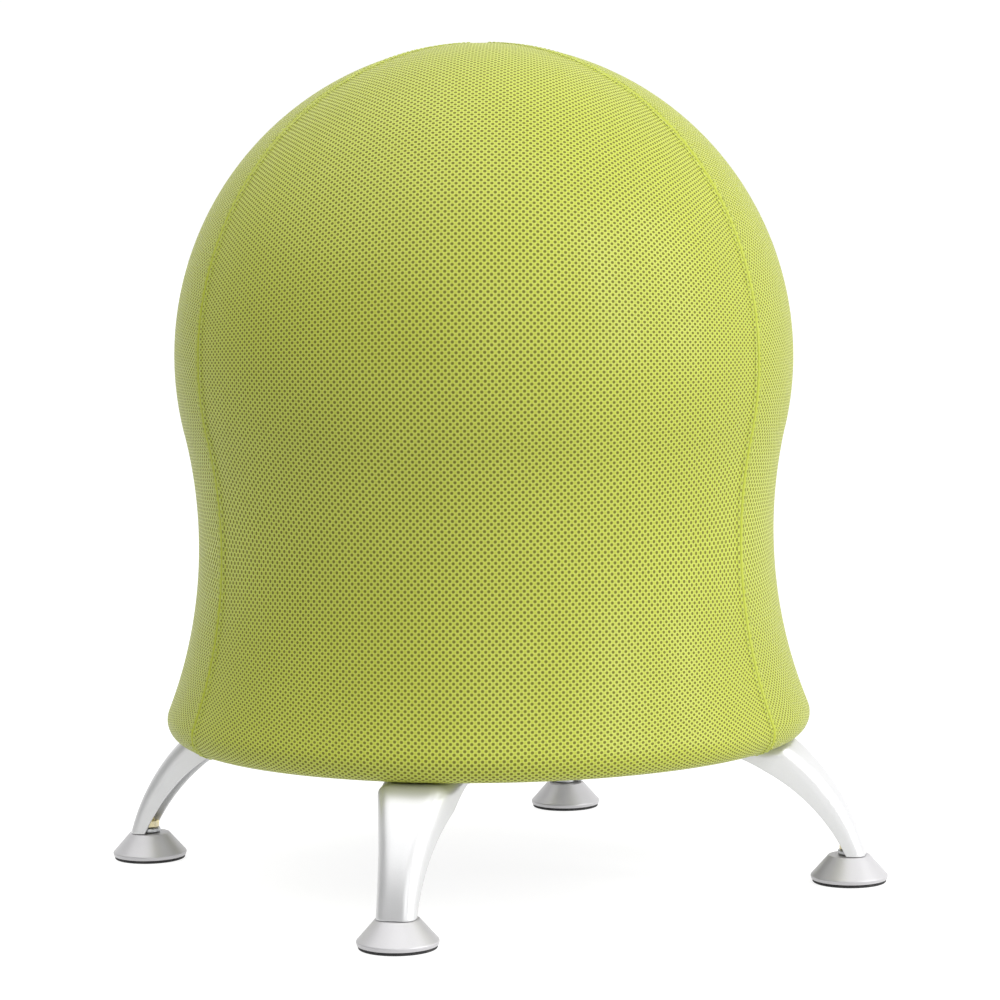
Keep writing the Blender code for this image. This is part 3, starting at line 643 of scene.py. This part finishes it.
def stitch_rows(name, surface, material, rows):
    """Short stitches along rows of (first distance from the crown, last, direction at a distance)."""
    sides = np.linspace(0.0, 2.0 * math.pi, 6, endpoint=False)
    lengths = np.array([-0.5, -0.42, -0.2, 0.2, 0.42, 0.5])
    girths = np.array([0.25, 0.8, 1.0, 1.0, 0.8, 0.25])
    builder = bmesh.new()
    for first, last, direction in rows:
        for middle in np.arange(first, last, STITCH_PITCH):
            places = middle + lengths * STITCH_LENGTH
            angles = direction(places)
            core = surface.points(places, angles, STITCH_LIFT - STITCH_SINK * np.abs(2.0 * lengths) ** 3)
            out = surface.points(places, angles, 0.01) - surface.points(places, angles, 0.0)
            out /= np.linalg.norm(out, axis=1)[:, None]
            across = np.cross(np.gradient(core, axis=0), out)
            across /= np.linalg.norm(across, axis=1)[:, None]
            add_tube(builder, core, out, across, girths * THREAD_RADIUS, sides)
    return new_piece(name, mesh_of(builder, name, 80.0), material)


def make_cover():
    """Three panels and the stitches on both sides of each seam."""
    surface = Surface()
    mesh_material = air_mesh_look()
    thread = thread_look()
    soft = [cover_panel(node, surface, mesh_material) for node in PANELS]
    for label, degrees in SEAM_TURNS.items():
        seam = math.radians(degrees)
        rows = []
        for hand in (-1.0, 1.0):
            def direction(along, hand=hand, seam=seam):
                return seam + hand * STITCH_FROM_SEAM / surface.ring(along)
            rows.append((STITCH_ENDS[0], surface.length - STITCH_ENDS[1], direction))
        soft.append(stitch_rows("seam_thread_" + label, surface, thread, rows))
    for piece in soft:
        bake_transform(piece)


# ---------------------------------------------------------------- ball, base shell and underside
def make_ball():
    """The inflated ball, ribbed round its filling hole, and the plug in the hole."""
    radius, rise = COVER_RADIUS - BLADDER_INSET, COVER_RISE - BLADDER_INSET
    last = math.degrees(math.acos(VALVE_HOLE / radius))
    points = []
    for degrees in np.linspace(90.0, -last, 160):
        angle = math.radians(degrees)
        ribs = BALL_RIB * math.sin(angle * BALL_RIB_RATE) * (degrees < BALL_RIB_TOP)
        points.append(((radius + ribs) * math.cos(angle), BALL_MIDDLE + (rise + ribs) * math.sin(angle)))
    points[0] = (0.0, points[0][1])
    points.append((VALVE_HOLE, points[-1][1] + BLADDER_THICK))
    mesh = turned("exercise_ball", points, 144, closed=False)
    ball = new_piece("exercise_ball", mesh, vinyl_look())
    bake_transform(ball)
    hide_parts("ball_bladder")
    refined("ball_valve_plug", "valve_plug", valve_look(), 0.0004, 3)


def base_shell_outline():
    """The pan: an upturned skirt, a floor, and a land one step lower that the legs bolt to."""
    lip_chamfer = 0.0005
    outer = [p for p in cover_line(PAN_INSET) if p[1] < PAN_LIP_TOP and p[0] > GORE_INNER]
    inner = [p for p in cover_line(PAN_INSET + PAN_WALL) if PAN_FLOOR < p[1] < PAN_LIP_TOP - lip_chamfer]
    skirt = [tuple(p) for p in spaced(outer, 40)]
    inside = [tuple(p) for p in spaced(inner, 36)][::-1]
    corner = LAND_OUTER - LAND_EDGE
    land = [(PAN_STEP, PAN_UNDER), (LAND_OUTER, LAND_UNDER), (LAND_INNER, LAND_UNDER),
            (LAND_INNER, LAND_TOP), (corner, LAND_TOP), (corner, PAN_FLOOR)]
    return rounded(skirt + land + inside, MOULD_ROUND, 3)


def cradle_outline():
    """The ring under the ball: foot flange, tapered wall and the band that the ball sits on."""
    foot = PAN_FLOOR + GAP
    radius = COVER_RADIUS - BLADDER_INSET + GAP
    rise = COVER_RISE - BLADDER_INSET + GAP
    latitudes = np.radians(np.linspace(CRADLE_SEAT[0], CRADLE_SEAT[1], 8))
    seat = [(radius * math.cos(a), BALL_MIDDLE + rise * math.sin(a)) for a in latitudes]
    crest = (seat[-1][0] + CRADLE_CREST, seat[-1][1])
    under = seat[0][1] - CRADLE_LIP
    top = [(crest[0] - PAN_WALL, under), (seat[0][0], under)] + seat + [crest]
    flange = [(CRADLE_INNER + PAN_WALL, foot + PAN_WALL), (CRADLE_FLANGE, foot + PAN_WALL),
              (CRADLE_FLANGE, foot), (CRADLE_INNER, foot)]
    return rounded(top + flange, MOULD_ROUND, 3)


def make_base():
    """The pan, the cradle on it and the steel ring; returns the steel for the other fasteners."""
    plastic = moulded_look()
    shell = new_piece("base_shell", turned("base_shell", base_shell_outline(), 144), plastic)
    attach(shell, "base")
    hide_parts("base_pan")
    cradle = new_piece("ball_ring", turned("ball_ring", cradle_outline(), 144), plastic)
    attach(cradle, "base")
    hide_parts("ball_cradle")
    steel = plated_look("plain_steel", (0.62, 0.63, 0.64), (0.52, 0.53, 0.55), 0.32)
    refined("support_ring", "support_ring_plate", steel, 0.0004)
    return steel


def make_band():
    """The black ring under the base, a little hollow, with the fold of a hem near its inner edge."""
    low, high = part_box("cover_underside_band")
    outer = high.x
    width = outer - BAND_INNER
    inset = 0.0004
    hollow, hem_fold = 0.0004, 0.0005
    share = np.linspace(0.0, 1.0, 30)
    rise = hollow * np.sin(math.pi * share) - ridge(share, hem_fold, 0.88, 0.05)
    lower = list(zip(outer - width * share, low.z + rise + inset))
    upper = [(BAND_INNER, high.z - inset), (outer, high.z - inset)]
    chain = np.array(rounded(lower + upper, 0.0006, 3))
    chain = np.vstack([chain, chain[:1]])
    angles = np.linspace(0.0, 2.0 * math.pi, 361)
    across = chain[:, :1] + 0.0 * angles
    around = 0.5 * (outer + BAND_INNER) * angles + 0.0 * chain[:, :1]
    weave = np.stack([across, around, 0.0 * across], axis=-1)
    mesh = merge_close(grid_mesh("underside_band", swept(chain, angles), weave=weave))
    band = new_piece("underside_band", mesh, band_look())
    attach(band, "base")
    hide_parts("cover_underside_band")


# ---------------------------------------------------------------- legs
def leg_face():
    """The outer face seen from the side: from the foot round the knee, and the level rest."""
    centre_r, centre_z = LEG_FACE_CENTRE
    reach = LEG_FACE_RADIUS - LEG_KNEE_RADIUS
    foot = math.degrees(math.asin((LEG_START - centre_z) / LEG_FACE_RADIUS))
    knee = math.degrees(math.asin((LEG_TOP - LEG_KNEE_RADIUS - centre_z) / reach))
    knee_centre = (centre_r + reach * math.cos(math.radians(knee)), LEG_TOP - LEG_KNEE_RADIUS)
    bend = arc(knee_centre, LEG_KNEE_RADIUS, knee, 90.0, 16)
    curve = arc(LEG_FACE_CENTRE, LEG_FACE_RADIUS, foot, knee, 48)
    return curve + bend[1:], [bend[-1], (LEG_INNER, LEG_TOP)]


def leg_edge():
    """The lower edge of the side walls: from the foot to abreast of the knee, and the rest."""
    centre_r, centre_z = LEG_EDGE_CENTRE
    foot = math.degrees(math.asin((LEG_START - centre_z) / LEG_EDGE_RADIUS))
    knee = math.degrees(math.acos((LEG_EDGE_KNEE - centre_r) / LEG_EDGE_RADIUS))
    level = math.degrees(math.asin((LEG_EDGE_TOP - centre_z) / LEG_EDGE_RADIUS))
    first = arc(LEG_EDGE_CENTRE, LEG_EDGE_RADIUS, foot, knee, 48)
    second = arc(LEG_EDGE_CENTRE, LEG_EDGE_RADIUS, knee, level, 24)
    return first, second + [(LEG_INNER, LEG_EDGE_TOP)]


def leg_section(face, edge, width):
    """Edge, wall, rounded corner and flat face of the channel, and the same back again."""
    outward = (face - edge) / np.linalg.norm(face - edge)
    half = 0.5 * width
    rounding = min(LEG_CORNER, 0.6 * float(np.linalg.norm(face - edge)))
    right = []
    for share in np.linspace(0.0, 1.0, 4)[:-1]:
        place = edge + share * (face - rounding * outward - edge)
        right.append((place[0], half, place[1]))
    for degrees in np.linspace(0.0, 90.0, 9):
        angle = math.radians(degrees)
        side = half - rounding * (1.0 - math.cos(angle))
        place = face - outward * rounding * (1.0 - math.sin(angle))
        right.append((place[0], side, place[1]))
    right.append((face[0], 0.5 * (half - rounding), face[1]))
    left = [(x, -y, z) for x, y, z in right]
    return left + [(face[0], 0.0, face[1])] + right[::-1]


def leg_mesh():
    """The skin of one leg's channel, from sections along the leg."""
    faces, face_rest = leg_face()
    edges, edge_rest = leg_edge()
    along_steps, rest_steps = 45, 14
    face_points = np.vstack([spaced(faces, along_steps), spaced(face_rest, rest_steps)[1:]])
    edge_points = np.vstack([spaced(edges, along_steps), spaced(edge_rest, rest_steps)[1:]])
    rest_share = 0.25
    grown = np.concatenate([np.linspace(0.0, 1.0 - rest_share, along_steps + 1),
                            np.linspace(1.0 - rest_share, 1.0, rest_steps + 1)[1:]])
    widths = LEG_FOOT_WIDTH + (LEG_HUB_WIDTH - LEG_FOOT_WIDTH) * grown ** LEG_FLARE
    rows = [leg_section(face, edge, width) for face, edge, width in zip(face_points, edge_points, widths)]
    return grid_mesh("leg", np.array(rows)[:, ::-1])


def finished_leg(material):
    """The channel with its sheet thickness, trimmed end, bolt holes and broken edges, as one mesh."""
    leg = new_piece("leg_pattern", leg_mesh(), material)
    sheet = leg.modifiers.new("Thickness", "SOLIDIFY")
    sheet.thickness = LEG_SHEET
    sheet.offset = -1.0
    sheet.use_even_offset = True
    builder = bmesh.new()
    trim = Matrix.Translation((FOOT_RADIUS, 0.0, LEG_END - 2.0 * LEG_SHEET)) @ Matrix.Diagonal(
        (2.0 * GLIDE_BASE, 2.0 * GLIDE_BASE, 4.0 * LEG_SHEET, 1.0))
    bmesh.ops.create_cube(builder, size=1.0, matrix=trim)
    for radius in BOLT_PLACES:
        bmesh.ops.create_cone(builder, cap_ends=True, segments=32, radius1=BOLT_HOLE, radius2=BOLT_HOLE,
                              depth=BOLT_CUT, matrix=Matrix.Translation((radius, 0.0, LEG_TOP)))
    cutter = bpy.data.objects.new("leg_cutter", mesh_of(builder, "leg_cutter"))
    bpy.context.scene.collection.objects.link(cutter)
    cut = leg.modifiers.new("Cut", "BOOLEAN")
    cut.object = cutter
    cut.solver = "EXACT"
    edges = leg.modifiers.new("Edges", "BEVEL")
    edges.width = 0.0006
    edges.segments = 3
    edges.limit_method = "ANGLE"
    edges.angle_limit = math.radians(50.0)
    bpy.context.view_layer.update()
    graph = bpy.context.evaluated_depsgraph_get()
    mesh = bpy.data.meshes.new_from_object(leg.evaluated_get(graph))
    bpy.data.objects.remove(leg)
    bpy.data.objects.remove(cutter)
    return smooth(mesh, 40.0)


def at_side(mesh, name, side, material, node):
    """A copy of a mesh made for the +X side, turned to its own side of the chair."""
    turned_mesh = mesh.copy()
    turned_mesh.transform(Matrix.Rotation(math.radians(SIDES[side]), 4, "Z"))
    piece = new_piece(name, turned_mesh, material)
    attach(piece, "base")
    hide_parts(node)
    return piece


def glide_meshes():
    """The cone of a glide, with a socket for its stud and a skirt round its pad, and the pad."""
    centre = (FOOT_RADIUS, 0.0)
    low = PAD_THICK + GAP
    skirt = low - GLIDE_SKIRT
    socket = GLIDE_HEIGHT - STUD_SOCKET
    shoulder = (GLIDE_TOP - GLIDE_TOP_ROUND, GLIDE_HEIGHT - GLIDE_TOP_ROUND)
    lip = (GLIDE_BASE - GLIDE_LIP_ROUND, GLIDE_LIP)
    cone = [(0.0, socket), (STUD_HOLE, socket), (STUD_HOLE, GLIDE_HEIGHT)]
    cone += arc(shoulder, GLIDE_TOP_ROUND, 90.0, 40.0, 5) + arc(lip, GLIDE_LIP_ROUND, 50.0, -35.0, 8)
    around_pad = PAD_RADIUS + GAP
    cone += [(GLIDE_BASE - GLIDE_TUCK, skirt), (around_pad, skirt), (around_pad, low), (0.0, low)]
    top = (PAD_RADIUS - PAD_TOP_ROUND, PAD_THICK - PAD_TOP_ROUND)
    foot = (PAD_RADIUS - PAD_FOOT_ROUND, PAD_FOOT_ROUND)
    pad = [(0.0, PAD_THICK)] + arc(top, PAD_TOP_ROUND, 90.0, 0.0, 3)
    pad += arc(foot, PAD_FOOT_ROUND, 0.0, -90.0, 5) + [(0.0, 0.0)]
    return (turned("glide_cone", cone, 96, False, centre), turned("glide_pad", pad, 72, False, centre))


def stud_mesh():
    """A stud with a real helical thread above the glide."""
    heights = np.arange(STUD_FOOT, STUD_TOP, THREAD_PITCH / 8.0)[:, None]
    angles = np.linspace(0.0, 2.0 * math.pi, 40, endpoint=False)[None, :]
    phase = np.mod(heights / THREAD_PITCH - angles / (2.0 * math.pi), 1.0)
    taper = np.clip((STUD_TOP - heights) / STUD_POINT, 0.35, 1.0)
    radii = (STUD_RADIUS - THREAD_DEPTH * np.abs(2.0 * phase - 1.0)) * taper ** 0.5
    across = FOOT_RADIUS + radii * np.cos(angles)
    points = np.stack([across, radii * np.sin(angles), heights + 0.0 * angles], axis=-1)
    cap = np.full((1, angles.shape[1], 3), (FOOT_RADIUS, 0.0, float(heights[-1, 0])))
    foot = np.full((1, angles.shape[1], 3), (FOOT_RADIUS, 0.0, STUD_FOOT))
    return merge_close(grid_mesh("glide_stud", np.concatenate([foot, points, cap]), loop=True))


def make_legs(steel):
    """The four legs with their glides, studs, nuts and bolts."""
    silver = silver_look("leg_silver", (0.74, 0.742, 0.748), 0.33, 0.50, 900.0)
    glide_silver = silver_look("glide_silver", (0.58, 0.572, 0.588), 0.42, 0.36, 1200.0)
    zinc = plated_look("zinc_yellow", (0.80, 0.70, 0.38), (0.66, 0.60, 0.42), 0.30)
    rubber = rubber_look()
    leg = finished_leg(silver)
    cone, pad = glide_meshes()
    stud = stud_mesh()
    for side in SIDES:
        at_side(leg, "leg_channel_" + side, side, silver, "leg_" + side)
        at_side(cone, "glide_body_" + side, side, glide_silver, "glide_cone_" + side)
        at_side(pad, "rubber_pad_" + side, side, rubber, "glide_pad_" + side)
        at_side(stud, "threaded_stud_" + side, side, zinc, "glide_stud_" + side)
        refined("foot_plate_" + side, "end_plate_" + side, steel, 0.0007, 3)
        refined("glide_nut_" + side, "lock_nut_" + side, zinc, 0.0006, 3)
        for place in ("inner", "outer"):
            refined(f"leg_bolt_{side}_{place}", f"base_bolt_{side}_{place}", steel, 0.0003)
            refined(f"leg_nut_{side}_{place}", f"base_nut_{side}_{place}", steel, 0.0004)


# ---------------------------------------------------------------- zip
def tape_mesh(under, top):
    """The zip's tape, a thin strip that follows a circle."""
    half = 0.5 * ZIP_WIDTH
    flat = under + TAPE_ABOVE
    section = rounded([(ZIP_RADIUS + half, top), (ZIP_RADIUS + half, flat), (ZIP_RADIUS + TOOTH_ROW, flat),
                       (ZIP_RADIUS - TOOTH_ROW, flat), (ZIP_RADIUS - half, flat), (ZIP_RADIUS - half, top)],
                      0.0003, 2)
    angles = np.radians(np.linspace(ZIP_START, ZIP_START + ZIP_SWEEP, 120))
    return merge_close(grid_mesh("zip_tape", swept(np.array(section + section[:1]), angles)))


def make_zip(steel):
    """The tape with its two rows of interlocking teeth, the slider and the pull."""
    low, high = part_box("zip_chain")
    builder = bmesh.new()
    builder.from_mesh(tape_mesh(low.z, high.z))
    bmesh.ops.holes_fill(builder, edges=builder.edges, sides=0)
    sides = np.linspace(0.0, 2.0 * math.pi, 6, endpoint=False)
    first = math.radians(ZIP_START + ZIP_MARGIN)
    last = math.radians(ZIP_START + ZIP_SWEEP - ZIP_MARGIN)
    down = np.array([0.0, 0.0, -1.0])
    seat = np.array([0.0, 0.0, low.z + TAPE_ABOVE])
    for i, angle in enumerate(np.arange(first, last, TOOTH_PITCH / ZIP_RADIUS)):
        hand = 1.0 if i % 2 else -1.0
        out = np.array([math.cos(angle), math.sin(angle), 0.0])
        tangent = np.array([-math.sin(angle), math.cos(angle), 0.0])
        reach = hand * np.array(TOOTH_REACH)[:, None]
        core = out * (ZIP_RADIUS + reach) + down * np.array(TOOTH_DROP)[:, None] + seat
        add_tube(builder, core, [tangent] * len(core), [down] * len(core), TOOTH_GIRTH, sides)
    bmesh.ops.recalc_face_normals(builder, faces=builder.faces)
    mesh = mesh_of(builder, "zip_teeth_and_tape")
    zip_tape = new_piece("zip_teeth_and_tape", mesh, nylon_look())
    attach(zip_tape, "base")
    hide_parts("zip_chain")
    nickel = plated_look("zip_metal", (0.66, 0.65, 0.63), (0.56, 0.55, 0.53), 0.24)
    refined("zip_slider", "zip_slider_body", nickel, 0.0005, 3)
    refined("zip_pull", "zip_pull_tab", nickel, 0.0004, 3)


# ---------------------------------------------------------------- stage, light and camera
def area_light(name, location, target, size, power):
    """A soft box aimed at a point, with a width, a height and a power in watts."""
    light = bpy.data.lights.new(name, "AREA")
    light.shape = "RECTANGLE"
    light.size, light.size_y = size
    light.energy = power
    lamp = bpy.data.objects.new(name, light)
    bpy.context.scene.collection.objects.link(lamp)
    lamp.location = location
    lamp.rotation_euler = (Vector(target) - Vector(location)).to_track_quat("-Z", "Y").to_euler()


def make_floor():
    """A white floor that is clear from below, so that the underside can be looked at. It glows: white where
    it is seen directly, so that the chair's shadow on it is faint, a little dimmer in the legs'
    reflections, and dimmer still as light on the chair, least from the front left.
    """
    look = Look("floor_white", roughness=0.9)
    look.set("Base Color", look.mix(look.noise(0.8), (0.30, 0.30, 0.30), (0.32, 0.32, 0.32)))
    look.set("Specular IOR Level", 0.1)
    look.set("Emission Color", (1.0, 1.0, 1.0))
    toward = look.node("VectorMath", operation="DOT_PRODUCT")
    look.feed(toward.inputs[0], look.place())
    toward.inputs[1].default_value = Vector(FLOOR_DIM_SIDE).normalized()
    share = look.between(toward.outputs["Value"], *FLOOR_FADE)
    bounce = look.math("MULTIPLY", share, FLOOR_BOUNCE)
    ray = look.node("LightPath")
    seen = look.math("MULTIPLY", ray.outputs["Is Camera Ray"], FLOOR_SEEN)
    mirrored = look.math("MULTIPLY", ray.outputs["Is Glossy Ray"], FLOOR_MIRRORED)
    look.set("Emission Strength", look.math("MAXIMUM", bounce, look.math("MAXIMUM", seen, mirrored)))
    clear = look.node("BsdfTransparent")
    choice = look.node("MixShader")
    look.feed(choice.inputs[0], look.node("NewGeometry").outputs["Backfacing"])
    look.feed(choice.inputs[1], look.shader.outputs[0])
    look.feed(choice.inputs[2], clear.outputs[0])
    look.feed(look.tree.nodes["Material Output"].inputs["Surface"], choice.outputs[0])
    corners = [(-1.0, -1.0), (1.0, -1.0), (1.0, 1.0), (-1.0, 1.0)]
    mesh = bpy.data.meshes.new("floor")
    mesh.from_pydata([(FLOOR_HALF * x, FLOOR_HALF * y, 0.0) for x, y in corners], [], [(0, 1, 2, 3)])
    mesh.materials.append(look.material)
    floor = bpy.data.objects.new("floor", mesh)
    bpy.context.scene.collection.objects.link(floor)
    floor.location.z = -0.0002


def make_world():
    """A white studio that gives most light from behind on the right, and least from the front left."""
    world = bpy.data.worlds.new("studio")
    bpy.context.scene.world = world
    world.use_nodes = True
    tree = world.node_tree
    background = tree.nodes["Background"]
    place = tree.nodes.new("ShaderNodeTexCoord")
    toward = tree.nodes.new("ShaderNodeVectorMath")
    toward.operation = "DOT_PRODUCT"
    toward.inputs[1].default_value = Vector(WORLD_BRIGHT_SIDE).normalized()
    tree.links.new(place.outputs["Generated"], toward.inputs[0])
    strength = tree.nodes.new("ShaderNodeMapRange")
    strength.interpolation_type = "SMOOTHSTEP"
    for socket, number in zip(("From Min", "From Max", "To Min", "To Max"), WORLD_FADE):
        strength.inputs[socket].default_value = number
    tree.links.new(toward.outputs["Value"], strength.inputs["Value"])
    seen = tree.nodes.new("ShaderNodeLightPath")
    choice = tree.nodes.new("ShaderNodeMix")
    choice.inputs[3].default_value = BACKDROP
    tree.links.new(seen.outputs["Is Camera Ray"], choice.inputs[0])
    tree.links.new(strength.outputs[0], choice.inputs[2])
    tree.links.new(choice.outputs[0], background.inputs["Strength"])
    background.inputs["Color"].default_value = (1.0, 1.0, 1.0, 1.0)


def make_camera():
    """The camera, aimed from a direction, a distance and a height."""
    azimuth, pitch, roll = math.radians(13.5), math.radians(4.93), math.radians(-0.776)
    distance, height = 2.3074, 0.4633
    data = bpy.data.cameras.new("camera")
    data.lens = 116.77
    data.sensor_width = 36.0
    data.shift_x = 0.0142
    data.shift_y = 0.0037
    camera = bpy.data.objects.new("camera", data)
    bpy.context.scene.collection.objects.link(camera)
    turn = (Matrix.Rotation(azimuth, 4, "Z") @ Matrix.Rotation(math.radians(90.0) - pitch, 4, "X")
            @ Matrix.Rotation(roll, 4, "Z"))
    camera.matrix_world = Matrix.Translation(
        (distance * math.sin(azimuth), -distance * math.cos(azimuth), height)) @ turn
    bpy.context.scene.camera = camera


make_camera()
make_world()
make_floor()
area_light("key", (2.2, 0.0, 1.15), (0.0, 0.0, 0.30), (0.4, 2.0), 15.0)
area_light("strip", (2.1, -1.1, 1.35), (0.0, 0.0, 0.35), (0.30, 2.0), 20.0)
area_light("overhead", (-0.7, -0.7, 2.4), (0.0, 0.0, 0.30), (3.4, 3.0), 39.0)
area_light("front", (0.9, -2.6, 1.3), (0.0, 0.0, 0.25), (1.2, 1.4), 7.6)
area_light("low_front", (0.9, -2.6, 0.40), (0.0, 0.0, 0.10), (1.8, 0.7), 1.4)
bpy.context.scene.view_settings.view_transform = "Standard"

make_cover()
make_ball()
steel_look = make_base()
make_band()
make_legs(steel_look)
make_zip(steel_look)
